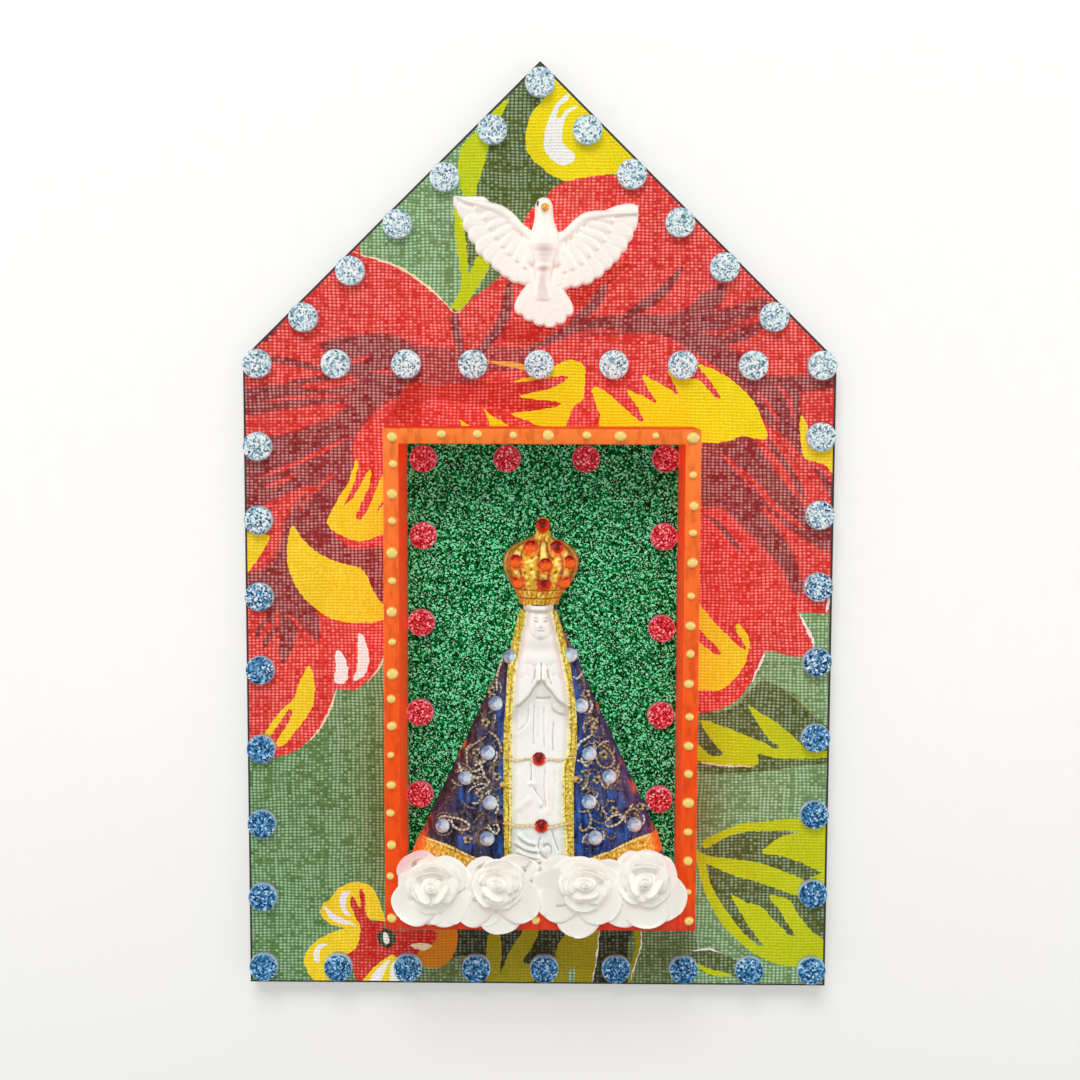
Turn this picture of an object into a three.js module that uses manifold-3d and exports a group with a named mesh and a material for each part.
// Wall shrine shaped like a small chapel front: a gabled board covered with printed
// cotton, a shallow niche box with a cast figure, paper roses, a cast dove and foam discs.
// Millimetres, +Z up, +X to the right seen from the front. The front faces -Y.
import * as THREE from "three";
import { mergeVertices } from "three/addons/utils/BufferGeometryUtils.js";
import Module from "manifold-3d";

const wasm = await Module();
wasm.setup();

// Driving dimensions of the board
const boardWidth = 122;
const eaveHeight = 132;
const gableRise = 60;
const boardThickness = 3;
const fabricThickness = 0.4;
const fabricMargin = 0.5;

// Driving dimensions of the niche box
const nicheWidth = 62;
const nicheHeight = 100;
const nicheDepth = 20;
const nicheWall = 3;
const nicheBase = 18.3;
const nicheShift = 0.8;

// Glitter foam, clearances and the beads of gold paint
const foamThickness = 2;
const slipGap = 0.3;
const discDiameter = 6;
const redDiscDiameter = 5.7;
const discSides = 16;
const beadHeight = 0.75;
const beadDiameters = [1.4, 1.8];
const cornerBeadDiameter = 2.1;
const beadSides = 8;

// Cast figure and its crown
const figureHeight = 60.8;
const mantleWidth = 50.4;
const mantleDepth = 11.4;
const robeWidth = 11.4;
const robeDepth = 8.6;
const figureBack = 2;
const crownHeight = 18;
const crownWidth = 15.5;

// Stones, roses and dove
const stoneDiameter = 2.5;
const stoneRise = 0.9;
const roseDiameter = 16;
const roseDepth = 6;
const rosePetals = 5;
const doveSpan = 38;
const doveShift = 0.9;
const doveThickness = 1.6;

// Hanger on the back
const hangerWidth = 40;
const hangerHeight = 9;
const hangerSheet = 0.8;
const hangerBow = 1.2;
const hangerLevel = 158;
const hangerTeeth = 7;

// Planes and lines that the pieces share
const boardFront = -boardThickness;
const fabricFront = boardFront - fabricThickness;
const rimFront = fabricFront - nicheDepth;
const sheetFront = fabricFront - foamThickness;
const nicheLeft = nicheShift - nicheWidth / 2;
const nicheRight = nicheShift + nicheWidth / 2;
const nicheTop = nicheBase + nicheHeight;
const nicheFloor = nicheBase + nicheWall;
const nicheCeiling = nicheTop - nicheWall;
const innerLeft = nicheLeft + nicheWall;
const innerRight = nicheRight - nicheWall;
const figureTop = nicheFloor + figureHeight;
const mantleFront = sheetFront - figureBack;
const gableTop = eaveHeight + gableRise;
const hangerRear = hangerBow + hangerSheet;

const shrine = new THREE.Group();

// Turns a closed three.js geometry into a solid that can be joined and cut.
function toSolid(geometry) {
  const bare = geometry.clone();
  bare.deleteAttribute("normal");
  bare.deleteAttribute("uv");
  const merged = mergeVertices(bare, 1e-4);
  const corners = merged.index.array;
  const faces = [];
  for (let i = 0; i < corners.length; i += 3) {
    const [a, b, c] = corners.slice(i, i + 3);
    if (a !== b && b !== c && c !== a) {
      faces.push(a, b, c);
    }
  }
  return new wasm.Manifold(new wasm.Mesh({
    numProp: 3,
    vertProperties: new Float32Array(merged.attributes.position.array),
    triVerts: new Uint32Array(faces),
  }));
}

// Gives a joined or cut solid back as a geometry.
function toGeometry(solid) {
  const mesh = solid.getMesh();
  const geometry = new THREE.BufferGeometry();
  geometry.setAttribute("position", new THREE.BufferAttribute(mesh.vertProperties, 3));
  geometry.setIndex(new THREE.BufferAttribute(mesh.triVerts, 1));
  geometry.computeVertexNormals();
  return geometry;
}

// Joins several geometries into one solid.
function join(geometries) {
  return geometries.map(toSolid).reduce((whole, piece) => whole.add(piece));
}

// Adds one named piece with a material of its own.
function addPiece(name, geometry, color, roughness = 0.7, metalness = 0) {
  const material = new THREE.MeshStandardMaterial({ color, roughness, metalness });
  const mesh = new THREE.Mesh(geometry, material);
  mesh.name = name;
  shrine.add(mesh);
  return mesh;
}

// A box given by its limits along the three axes.
function block(x0, x1, y0, y1, z0, z1) {
  const geometry = new THREE.BoxGeometry(x1 - x0, y1 - y0, z1 - z0);
  return geometry.translate((x0 + x1) / 2, (y0 + y1) / 2, (z0 + z1) / 2);
}

// Extrudes an outline in X and Z towards the front, from one depth to another.
function plate(shape, back, front, curveSegments = 6) {
  const options = { depth: back - front, bevelEnabled: false, curveSegments };
  return new THREE.ExtrudeGeometry(shape, options).rotateX(Math.PI / 2).translate(0, back, 0);
}

// A flat disc that lies on a plane and faces the front.
function disc(diameter, back, thickness, x, z) {
  const geometry = new THREE.CylinderGeometry(diameter / 2, diameter / 2, thickness, discSides);
  return geometry.translate(x, back - thickness / 2, z);
}

// Skins a row of rings that run anticlockwise seen from above, and closes both ends.
function skin(rings) {
  const around = rings[0].length;
  const top = (rings.length - 1) * around;
  const faces = [];
  for (let row = 0; row < top; row += around) {
    for (let i = 0; i < around; i += 1) {
      const here = row + i;
      const next = row + ((i + 1) % around);
      faces.push(here, next, next + around, here, next + around, here + around);
    }
  }
  for (let i = 1; i + 1 < around; i += 1) {
    faces.push(0, i + 1, i, top, top + i, top + i + 1);
  }
  const geometry = new THREE.BufferGeometry().setFromPoints(rings.flat());
  geometry.setIndex(faces);
  return geometry;
}

// One flat-backed ring of a half relief: straight at the back, round at the front.
function reliefRing({ centre, halfWidth, back, depth, level, lift = 0, steps = 12 }) {
  const ring = [];
  for (let i = 0; i <= steps; i += 1) {
    const turn = (Math.PI * i) / steps;
    const side = Math.cos(turn);
    const x = centre - halfWidth * side;
    const y = back - depth * Math.sin(turn);
    ring.push(new THREE.Vector3(x, y, level + lift * side * side));
  }
  return ring;
}

// A faceted ball, squeezed to its three radii.
function ball(radiusX, radiusY, radiusZ, x, y, z, sides = 8, bands = 6) {
  const geometry = new THREE.SphereGeometry(1, sides, bands).rotateX(Math.PI / 2);
  return geometry.scale(radiusX, radiusY, radiusZ).translate(x, y, z);
}

// Places on the straight way from one point to another, evenly spaced and then moved
// along the row by each hand-set piece's own slip.
function rowPlaces(from, to, slips) {
  const way = new THREE.Vector2().subVectors(to, from);
  const along = way.clone().normalize();
  return slips.map((slip, i) => {
    const share = (i + 1) / (slips.length + 1);
    return from.clone().addScaledVector(way, share).addScaledVector(along, slip);
  });
}

// The gabled outline, drawn in from the edge by a margin.
function houseShape(margin) {
  const half = boardWidth / 2;
  const inner = half - margin;
  const drop = margin * Math.hypot(1, gableRise / half);
  const eave = eaveHeight + (gableRise * margin) / half - drop;
  const shape = new THREE.Shape();
  shape.moveTo(-inner, margin);
  shape.lineTo(inner, margin);
  shape.lineTo(inner, eave);
  shape.lineTo(0, gableTop - drop);
  shape.lineTo(-inner, eave);
  return shape;
}

function addBoard() {
  addPiece("backboard", plate(houseShape(0), 0, boardFront), 0x17140f, 0.6);
  addPiece("fabric_cover", plate(houseShape(fabricMargin), boardFront, fabricFront), 0xc8322f, 0.9);
}

// Blue foam discs round the edge and along the eave line
const discSideInset = 3.1;
const discFootInset = 3.8;
const discApexInset = 4.5;
const discEaveInset = 1.1;

function addBlueDiscs() {
  const reach = boardWidth / 2 - discSideInset;
  const apex = new THREE.Vector2(0, gableTop - discApexInset);
  const leftEave = new THREE.Vector2(-reach, eaveHeight - discEaveInset);
  const rightEave = new THREE.Vector2(reach, eaveHeight - discEaveInset);
  const leftFoot = new THREE.Vector2(-reach, discFootInset);
  const rightFoot = new THREE.Vector2(reach, discFootInset);
  const places = [
    apex,
    ...rowPlaces(leftEave, apex, [0, 0, 0, 0, 0]),
    ...rowPlaces(rightEave, apex, [0.5, 1.3, 0.6, 0.9, 0]),
    leftEave,
    ...rowPlaces(leftEave, rightEave, [1.7, 1.7, 0.9, 0, 0.8, 0.4, 0.4]),
    rightEave,
    ...rowPlaces(leftEave, leftFoot, [1.1, 0.4, 0.5, 0, 0.8, 0.9, 0.7]),
    ...rowPlaces(rightEave, rightFoot, [-1.3, -1.1, -2.1, -2.3, -2.2, -1.8, -0.7]),
    leftFoot,
    ...rowPlaces(leftFoot, rightFoot, [1.3, 1.6, 1.6, 1.5, 2.2, 2, 1.4]),
    rightFoot,
  ];
  places.forEach((place, i) => {
    const geometry = disc(discDiameter, fabricFront, foamThickness, place.x, place.y);
    addPiece(`blue_disc_${String(i + 1).padStart(2, "0")}`, geometry, 0x6f9bc4, 0.5, 0.2);
  });
}

// Beads of gold paint on the rim of the niche box
const beadTopInset = 1.6;
const beadFootInset = 1.9;
const leftBeadSlips = [-0.7, -0.9, -1.6, -1.4, -1.9, -1.8, -1.9, -1.5, -2.6, -3.2, -3.4, -3.4, -3.8, -3.3, -3];
const rightBeadSlips = [1.5, 1.5, 1, 0.6, 1, 1, 0.3, 0.7, 0.7, 0.5, 0.4, 0.1, 0.2, -0.2, -0.2];
const topBeadSlips = [2.1, 1.9, 1.7, 1.1, 1.5, 0.7, 0.5];
const footBeadSlips = [0, 0, 0, 0, 0, 0, 0];

function bead(diameter, place) {
  const radius = diameter / 2;
  return ball(radius, beadHeight, radius, place.x, rimFront, place.y, beadSides, 4);
}

// A wall of the box with a row of beads, large and small by turns.
function beadedWall(wall, places, corners = []) {
  const beads = places.map((place, i) => bead(beadDiameters[i % beadDiameters.length], place));
  const ends = corners.map((place) => bead(cornerBeadDiameter, place));
  return toGeometry(join([wall, ...ends, ...beads]));
}

function addNicheBox() {
  const paint = 0xe8551c;
  const middle = nicheWall / 2;
  const topLeft = new THREE.Vector2(nicheLeft + middle, nicheTop - beadTopInset);
  const topRight = new THREE.Vector2(nicheRight - middle, nicheTop - beadTopInset);
  const footLeft = new THREE.Vector2(nicheLeft + middle, nicheBase + beadFootInset);
  const footRight = new THREE.Vector2(nicheRight - middle, nicheBase + beadFootInset);
  const left = block(nicheLeft, innerLeft, rimFront, fabricFront, nicheBase, nicheTop);
  const right = block(innerRight, nicheRight, rimFront, fabricFront, nicheBase, nicheTop);
  const top = block(innerLeft, innerRight, rimFront, fabricFront, nicheCeiling, nicheTop);
  const foot = block(innerLeft, innerRight, rimFront, fabricFront, nicheBase, nicheFloor);
  const leftPlaces = rowPlaces(topLeft, footLeft, leftBeadSlips);
  const rightPlaces = rowPlaces(topRight, footRight, rightBeadSlips);
  addPiece("niche_left_wall", beadedWall(left, leftPlaces, [topLeft, footLeft]), paint);
  addPiece("niche_right_wall", beadedWall(right, rightPlaces, [topRight, footRight]), paint);
  addPiece("niche_top_wall", beadedWall(top, rowPlaces(topLeft, topRight, topBeadSlips)), paint);
  addPiece("niche_bottom_wall", beadedWall(foot, rowPlaces(footLeft, footRight, footBeadSlips)), paint);
}

// Green foam sheet at the back of the niche, with the red discs glued on it
const redSideCount = 4;
const redTopCount = 4;
const redPitch = 18.1;
const redFirstDrop = 16;
const redTopInset = 3.5;
const redWallGap = 0.4;
const sheetGap = 0.2;

function addGlitterSheet() {
  const reach = redDiscDiameter / 2 + redWallGap;
  const firstLevel = nicheCeiling - redTopInset;
  const leftColumn = innerLeft + reach;
  const rightColumn = innerRight - reach;
  const places = [];
  for (let i = 1; i + 1 < redTopCount; i += 1) {
    const share = i / (redTopCount - 1);
    places.push([leftColumn + (rightColumn - leftColumn) * share, firstLevel]);
  }
  places.push([leftColumn, firstLevel], [rightColumn, firstLevel]);
  for (let i = 0; i < redSideCount; i += 1) {
    const level = firstLevel - redFirstDrop - redPitch * i;
    places.push([leftColumn, level], [rightColumn, level]);
  }
  const sheet = block(
    innerLeft + sheetGap,
    innerRight - sheetGap,
    sheetFront,
    fabricFront,
    nicheFloor + sheetGap,
    nicheCeiling - sheetGap,
  );
  const overlap = foamThickness / 2;
  const discs = places.map(([x, z]) => {
    return disc(redDiscDiameter, sheetFront + overlap, foamThickness + overlap, x, z);
  });
  addPiece("glitter_sheet", toGeometry(join([sheet, ...discs])), 0x0c5a38, 0.45, 0.3);
}

// Rows of the robe and the mantle: shares of the height, of the width and of the depth
const robeRows = [
  [0, 1, 1],
  [0.55, 1, 0.885],
  [0.69, 0.965, 0.84],
  [0.82, 0.86, 0.745],
  [0.89, 0.72, 0.605],
  [0.95, 0.615, 0.535],
  [1, 0.51, 0.465],
];
const mantleRows = [
  [0.09, 1, 1],
  [0.15, 0.97, 0.985],
  [0.152, 0.95, 0.94],
  [0.45, 0.643, 0.84],
  [0.8, 0.318, 0.735],
  [0.9, 0.214, 0.63],
  [1, 0.155, 0.525],
];
const hemLift = 4.6;
const cordShares = [0.5, 0.27];
const cordRadius = 0.45;
const headShare = 0.94;
const handShare = 0.81;
const elbowShare = 0.72;

const atShare = (share) => nicheFloor + figureHeight * share;

function figureRing([share, widthShare, depthShare], width, depth, back, lift) {
  return reliefRing({
    centre: nicheShift,
    halfWidth: (width / 2) * widthShare,
    back,
    depth: depth * depthShare,
    level: atShare(share),
    lift: lift * (1 - share),
  });
}

// How far a skinned row list stands out at a height share and a distance from the axis.
function standOut(rows, width, depth, share, offset) {
  const above = Math.max(1, rows.findIndex((row) => row[0] >= share));
  const [low, high] = [rows[above - 1], rows[above]];
  const blend = (share - low[0]) / (high[0] - low[0]);
  const reach = (width / 2) * (low[1] + (high[1] - low[1]) * blend);
  const full = depth * (low[2] + (high[2] - low[2]) * blend);
  return full * Math.sqrt(1 - (offset / reach) ** 2);
}

function stone(offset, front, level) {
  const radius = stoneDiameter / 2;
  return ball(radius, stoneRise, radius, nicheShift + offset, front, level, 8, 4);
}

// A round tapered stick between two points.
function limb(from, to, radiusFrom, radiusTo) {
  const way = new THREE.Vector3().subVectors(to, from);
  const geometry = new THREE.CylinderGeometry(radiusTo, radiusFrom, way.length(), 8);
  const turn = new THREE.Quaternion().setFromUnitVectors(
    new THREE.Vector3(0, 1, 0),
    way.clone().normalize(),
  );
  const middle = new THREE.Vector3().addVectors(from, to).multiplyScalar(0.5);
  return geometry.applyQuaternion(turn).translate(middle.x, middle.y, middle.z);
}

function addFigureBody() {
  const front = (share) => mantleFront - standOut(robeRows, robeWidth, robeDepth, share, 0);
  const robe = skin(robeRows.map((row) => figureRing(row, robeWidth, robeDepth, mantleFront, 0)));
  const headWidth = robeWidth * 0.21;
  const head = ball(headWidth, 1.7, 3.2, nicheShift, front(headShare) + 0.4, atShare(headShare));
  const handY = front(handShare) - 0.6;
  const hands = ball(0.8, 1, 1.9, nicheShift, handY, atShare(handShare));
  const sleeves = [-1, 1].map((side) => limb(
    new THREE.Vector3(nicheShift + side * robeWidth * 0.34, front(elbowShare) + 2.2, atShare(elbowShare)),
    new THREE.Vector3(nicheShift + side * 0.5, handY, atShare(handShare) - 1.2),
    1.9,
    0.8,
  ));
  const cords = cordShares.map((share) => limb(
    new THREE.Vector3(nicheShift - robeWidth * 0.23, front(share) + 0.5, atShare(share)),
    new THREE.Vector3(nicheShift + robeWidth * 0.23, front(share) + 0.5, atShare(share)),
    cordRadius,
    cordRadius,
  ));
  const stones = cordShares.map((share) => stone(0, front(share), atShare(share)));
  const body = join([robe, head, hands, ...sleeves, ...cords, ...stones]);
  addPiece("figure_body", toGeometry(body), 0xf6f1ea, 0.55);
}

// Stones of the mantle, on both sides: share of the half width and of the height
const mantleStones = [
  [0.234, 0.838],
  [0.357, 0.675],
  [0.4, 0.51],
  [0.55, 0.428],
  [0.393, 0.343],
  [0.754, 0.263],
  [0.429, 0.217],
];

// The room that the robed body takes in the mantle, open to the front and at both ends.
function robeChannel() {
  const deep = mantleFront - nicheDepth;
  return skin(robeRows.map(([share, widthShare], i) => {
    const end = (i === 0 ? -1 : 0) + (i === robeRows.length - 1 ? 1 : 0);
    const level = atShare(share) + end;
    const reach = (robeWidth / 2) * widthShare + slipGap;
    return [
      new THREE.Vector3(nicheShift - reach, mantleFront, level),
      new THREE.Vector3(nicheShift - reach, deep, level),
      new THREE.Vector3(nicheShift + reach, deep, level),
      new THREE.Vector3(nicheShift + reach, mantleFront, level),
    ];
  }));
}

function addFigureMantle() {
  const rings = mantleRows.map((row) => figureRing(row, mantleWidth, mantleDepth, sheetFront, hemLift));
  const stones = mantleStones.flatMap(([widthShare, share]) => [-1, 1].map((side) => {
    const offset = (mantleWidth / 2) * widthShare;
    const front = sheetFront - standOut(mantleRows, mantleWidth, mantleDepth, share, offset);
    return stone(side * offset, front, atShare(share));
  }));
  const mantle = join([skin(rings), ...stones]).subtract(toSolid(robeChannel()));
  addPiece("figure_mantle", toGeometry(mantle), 0x2b2f6b, 0.5, 0.1);
}

// Rows of the crown: shares of its half width and of its height
const crownRows = [
  [0.503, 0],
  [0.555, 0.09],
  [0.632, 0.1],
  [0.71, 0.19],
  [0.697, 0.21],
  [0.929, 0.36],
  [1, 0.48],
  [0.942, 0.58],
  [0.748, 0.68],
  [0.387, 0.76],
  [0.181, 0.8],
  [0.129, 0.85],
  [0.194, 0.92],
  [0.142, 0.98],
  [0.065, 1],
];
const crownStones = [
  [0, 0.92],
  [-0.31, 0.68],
  [0.335, 0.68],
  [-0.67, 0.52],
  [0.077, 0.49],
  [0.684, 0.52],
  [-0.594, 0.29],
  [0.065, 0.27],
  [0.58, 0.29],
];

function crownRadius(share) {
  const above = Math.max(1, crownRows.findIndex((row) => row[1] >= share));
  const [low, high] = [crownRows[above - 1], crownRows[above]];
  const blend = (share - low[1]) / (high[1] - low[1]);
  return (crownWidth / 2) * (low[0] + (high[0] - low[0]) * blend);
}

function addFigureCrown() {
  const base = figureTop + slipGap;
  const cast = skin(crownRows.map(([widthShare, share]) => reliefRing({
    centre: nicheShift,
    halfWidth: (crownWidth / 2) * widthShare,
    back: sheetFront,
    depth: (crownWidth / 2) * widthShare,
    level: base + crownHeight * share,
  })));
  const stones = crownStones.map(([widthShare, share]) => {
    const offset = (crownWidth / 2) * widthShare;
    const front = sheetFront - Math.sqrt(crownRadius(share) ** 2 - offset ** 2);
    return stone(offset, front, base + crownHeight * share);
  });
  addPiece("figure_crown", toGeometry(join([cast, ...stones])), 0xd9a02b, 0.35, 0.6);
}

// Paper roses along the foot of the niche: share of the inner half width, height of the
// middle over the niche's floor, and turn
const rosePlaces = [
  { across: -0.775, lift: 6.1, turn: 0.2 },
  { across: -0.275, lift: 4.9, turn: 0.9 },
  { across: 0.286, lift: 5.1, turn: 0.5 },
  { across: 0.779, lift: 6, turn: 1.2 },
];
const roseBack = 1.2;
const pointsPerPetal = 5;

// Layers of petals from the back to the bud: share of the radius, of the depth, of a
// petal's turn, and how deep the petals are notched
const roseRings = [
  [0.78, 0, 0, 0.06],
  [1, 0.24, 0, 0.16],
  [0.95, 0.36, 0, 0.16],
  [0.66, 0.3, 0.25, 0.05],
  [0.72, 0.68, 0.5, 0.14],
  [0.66, 0.76, 0.5, 0.14],
  [0.4, 0.6, 0.75, 0.05],
  [0.4, 0.92, 1, 0.12],
  [0.3, 1, 1, 0.12],
  [0.14, 0.8, 1, 0],
];

function roseSolid(x, level, turn, back) {
  const petal = (2 * Math.PI) / rosePetals;
  const count = rosePetals * pointsPerPetal;
  return toSolid(skin(roseRings.map(([share, depth, twist, notch]) => {
    const ring = [];
    for (let i = 0; i < count; i += 1) {
      const angle = (2 * Math.PI * i) / count;
      const lobe = Math.abs(Math.cos((rosePetals * angle) / 2));
      const radius = (roseDiameter / 2) * share * (1 - notch * lobe ** 3);
      const around = angle + turn + twist * petal;
      const across = x + radius * Math.cos(around);
      ring.push(new THREE.Vector3(across, back - roseDepth * depth, level + radius * Math.sin(around)));
    }
    return ring;
  })));
}

function addRoses() {
  const innerHalf = nicheWidth / 2 - nicheWall;
  const rimReach = rimFront - beadHeight - slipGap;
  const back = rimReach + roseBack;
  const middles = rosePlaces.map(({ across }) => nicheShift + innerHalf * across);
  const outside = [nicheLeft - roseDiameter, nicheRight + roseDiameter];
  rosePlaces.forEach(({ lift, turn }, i) => {
    const level = nicheFloor + lift;
    const left = i > 0 ? (middles[i - 1] + middles[i] + slipGap) / 2 : outside[0];
    const right = i + 1 < middles.length ? (middles[i] + middles[i + 1] - slipGap) / 2 : outside[1];
    const low = level - roseDiameter;
    const high = level + roseDiameter;
    const inFront = block(left, right, rimReach - roseDiameter, rimReach, low, high);
    const inside = block(
      Math.max(left, innerLeft + slipGap),
      Math.min(right, innerRight - slipGap),
      rimReach,
      back,
      nicheFloor + slipGap,
      high,
    );
    const room = toSolid(inFront).add(toSolid(inside));
    const rose = roseSolid(middles[i], level, turn, back).intersect(room);
    addPiece(`rose_${i + 1}`, toGeometry(rose), 0xfbf8f2, 0.85);
  });
}

// Dove, drawn at a span of 38: X from the body's axis and Z from the root of the tail.
// The tip of its left wing hangs under the gable's slope by a set drop.
const drawnSpan = 38;
const doveDrop = 9.8;
const doveRows = [
  [-1, 1.2, 1.8],
  [2.3, 1.5, 2.4],
  [5.1, 2.3, 3.6],
  [9.3, 2.8, 4.8],
  [11.5, 2.4, 4.6],
  [13.5, 1.9, 4.2],
  [16, 1.8, 4.7],
  [17.4, 1.5, 4.4],
  [18.3, 0.7, 3],
];
const leftLeading = [[-2.9, 11.6], [-4.7, 12.1], [-6.7, 15.1], [-8.9, 16.7], [-14.1, 17.6], [-18.4, 19]];
const leftTrailing = [
  [-18, 16],
  [-16.1, 12.3],
  [-14.9, 9.3],
  [-13.3, 6.7],
  [-11.5, 5.2],
  [-9.7, 3.8],
  [-7.7, 2.4],
  [-5.4, 1.4],
  [-1.8, 1.4],
];
const rightLeading = [[3, 10.8], [5.4, 12], [7.4, 14], [10, 15.2], [13.8, 15.4], [19.2, 15.6]];
const rightTrailing = [
  [18.6, 12.4],
  [17.4, 9.8],
  [15.3, 7],
  [13.4, 4.4],
  [11, 2.5],
  [8.1, 1.3],
  [5, 0.4],
  [1.8, 0.6],
];
const fanTail = [[-1, 1], [-5.6, -5], [-2.2, -6.8], [1.7, -7.6], [5.7, -5.8], [1.4, 1]];

// A wing outline: a smooth leading edge and a scallop for each feather.
function wingShape(leading, trailing) {
  const shape = new THREE.Shape();
  const edge = leading.map(([x, z]) => new THREE.Vector2(x, z));
  const outward = Math.sign(edge[0].x);
  const rootDrop = 3;
  const bulge = 0.6;
  shape.moveTo(0, edge[0].y - rootDrop);
  shape.lineTo(edge[0].x, edge[0].y);
  shape.splineThru(edge.slice(1));
  let last = edge[edge.length - 1];
  trailing.forEach(([x, z]) => {
    const middleX = (last.x + x) / 2 + outward * bulge;
    const middleZ = (last.y + z) / 2 - bulge;
    shape.quadraticCurveTo(middleX, middleZ, x, z);
    last = new THREE.Vector2(x, z);
  });
  shape.lineTo(0, last.y);
  return shape;
}

function addDove() {
  const scale = doveSpan / drawnSpan;
  const thickness = doveThickness / scale;
  const body = skin(doveRows.map(([level, halfWidth, depth]) => reliefRing({
    centre: 0,
    halfWidth,
    back: 0,
    depth,
    level,
    steps: 8,
  })));
  const fanShape = new THREE.Shape(fanTail.map(([x, z]) => new THREE.Vector2(x, z)));
  const leftWing = plate(wingShape(leftLeading, leftTrailing), 0, -thickness, 3);
  const rightWing = plate(wingShape(rightLeading, rightTrailing), 0, -thickness, 3);
  const fan = plate(fanShape, 0, -thickness);
  const beak = ball(0.55, 1.4, 0.8, 0, -5.2, 15.9);
  const dove = toGeometry(join([body, leftWing, rightWing, fan, beak])).scale(scale, scale, scale);
  const [tipX, tipZ] = leftLeading[leftLeading.length - 1];
  const slopeOverTip = gableTop + (gableRise / (boardWidth / 2)) * (doveShift + tipX * scale);
  const mesh = addPiece("dove", dove, 0xf4efe8, 0.5);
  mesh.position.set(doveShift, fabricFront, slopeOverTip - doveDrop - tipZ * scale);
}

// Steel hanger nailed to the back: flat ears and a bowed bar with teeth along its foot
const earLength = 7;
const bendLength = 2;
const toothDepth = 1.2;
const nailHeadDiameter = 3.4;
const nailHeadHeight = 0.6;

function addHanger() {
  const half = hangerWidth / 2;
  const bar = half - earLength - bendLength;
  const strip = new THREE.Shape();
  strip.moveTo(-half, 0);
  strip.lineTo(-half + earLength, 0);
  strip.lineTo(-bar, hangerBow);
  strip.lineTo(bar, hangerBow);
  strip.lineTo(half - earLength, 0);
  strip.lineTo(half, 0);
  strip.lineTo(half, hangerSheet);
  strip.lineTo(half - earLength, hangerSheet);
  strip.lineTo(bar, hangerRear);
  strip.lineTo(-bar, hangerRear);
  strip.lineTo(-half + earLength, hangerSheet);
  strip.lineTo(-half, hangerSheet);
  const options = { depth: hangerHeight, bevelEnabled: false };
  const sheet = new THREE.ExtrudeGeometry(strip, options).translate(0, 0, -hangerHeight / 2);
  const pitch = (2 * bar) / hangerTeeth;
  const teeth = new THREE.Shape();
  const foot = -hangerHeight / 2;
  teeth.moveTo(-bar, foot - 1);
  for (let i = 0; i < hangerTeeth; i += 1) {
    const start = -bar + i * pitch;
    teeth.lineTo(start, foot);
    teeth.lineTo(start + pitch / 2, foot + toothDepth);
  }
  teeth.lineTo(bar, foot);
  teeth.lineTo(bar, foot - 1);
  const notches = plate(teeth, hangerRear + 1, hangerBow - 1);
  const nails = [-1, 1].map((side) => {
    const radius = nailHeadDiameter / 2;
    const geometry = new THREE.CylinderGeometry(radius, radius, nailHeadHeight + hangerSheet / 2, 12);
    const x = side * (half - earLength / 2);
    return geometry.translate(x, hangerSheet + nailHeadHeight / 2 - hangerSheet / 4, 0);
  });
  const hanger = join([sheet, ...nails]).subtract(toSolid(notches));
  const mesh = addPiece("wall_hanger", toGeometry(hanger), 0x9a9c9e, 0.35, 0.9);
  mesh.position.z = hangerLevel;
}

addBoard();
addBlueDiscs();
addNicheBox();
addGlitterSheet();
addFigureBody();
addFigureMantle();
addFigureCrown();
addRoses();
addDove();
addHanger();

// The origin is the middle of the hanger's rear face, where the wall holds the shrine.
shrine.position.set(0, -hangerRear, -hangerLevel);

export default shrine;
